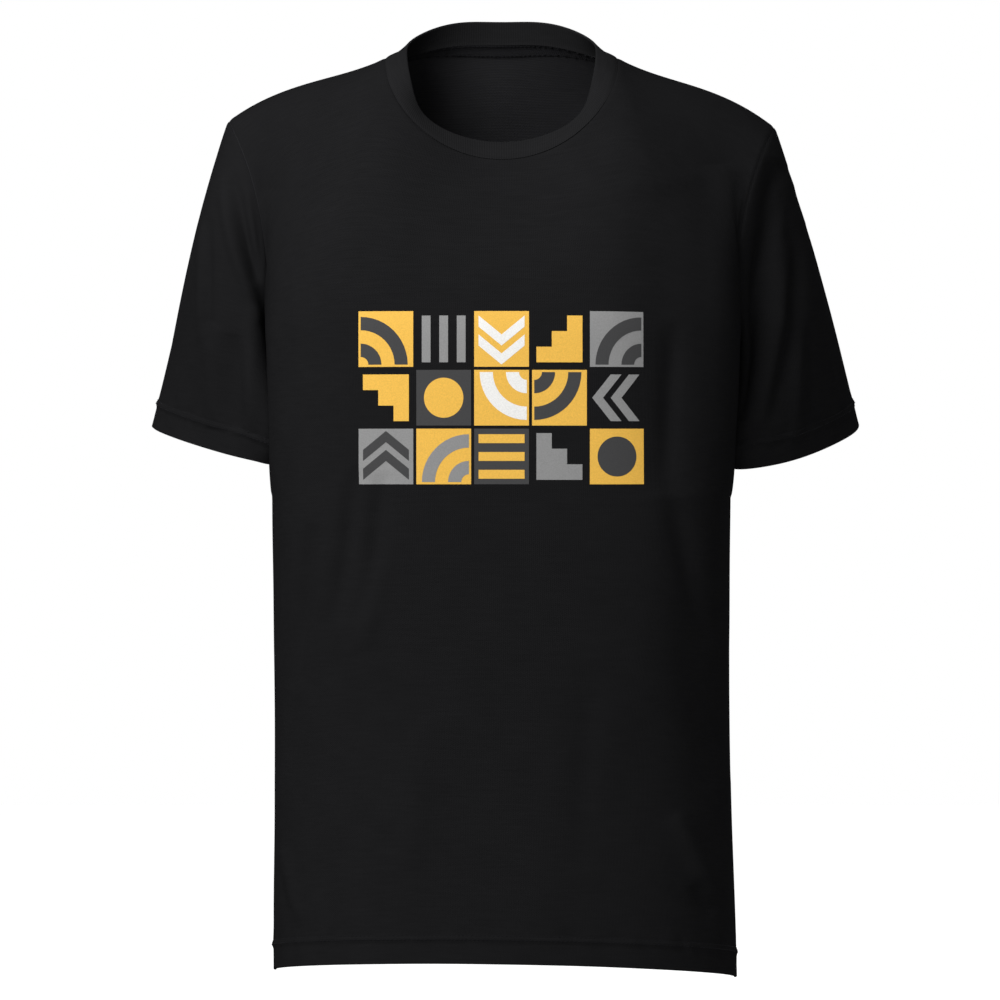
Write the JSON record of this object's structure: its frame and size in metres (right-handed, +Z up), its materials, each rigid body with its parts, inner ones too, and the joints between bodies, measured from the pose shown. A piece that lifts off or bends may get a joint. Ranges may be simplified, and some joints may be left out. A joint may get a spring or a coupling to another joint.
{
  "type": "t-shirt",
  "caption": "Short-sleeved crew-neck T-shirt of black jersey in its worn shape, hollow, with a ribbed neck, turned-up hems and a print across the chest.",
  "frame": {"origin": "middle of the wearer's neck, level with the two high shoulder points, where the shoulder seams meet the neck rib", "axes": "+Z up along the body, -Y out of the chest, +X towards the wearer's left arm"},
  "size_m": [0.5729, 0.2554, 0.768],
  "materials": {
    "jersey": "matt black single-jersey cotton",
    "rib": "matt black 1x1 rib-knit cotton",
    "tape": "matt black cotton tape",
    "print": "soft matt screen-printing ink in amber, grey, charcoal and off-white"
  },
  "bodies": {
    "root": {"front_panel": "jersey", "front_hem": "jersey", "back_panel": "jersey", "back_hem": "jersey", "left_sleeve": "jersey", "left_cuff": "jersey", "right_sleeve": "jersey", "right_cuff": "jersey", "neck_rib": "rib", "back_neck_tape": "tape", "left_shoulder_tape": "tape", "right_shoulder_tape": "tape", "chest_print": "print"}
  },
  "joints": []
}
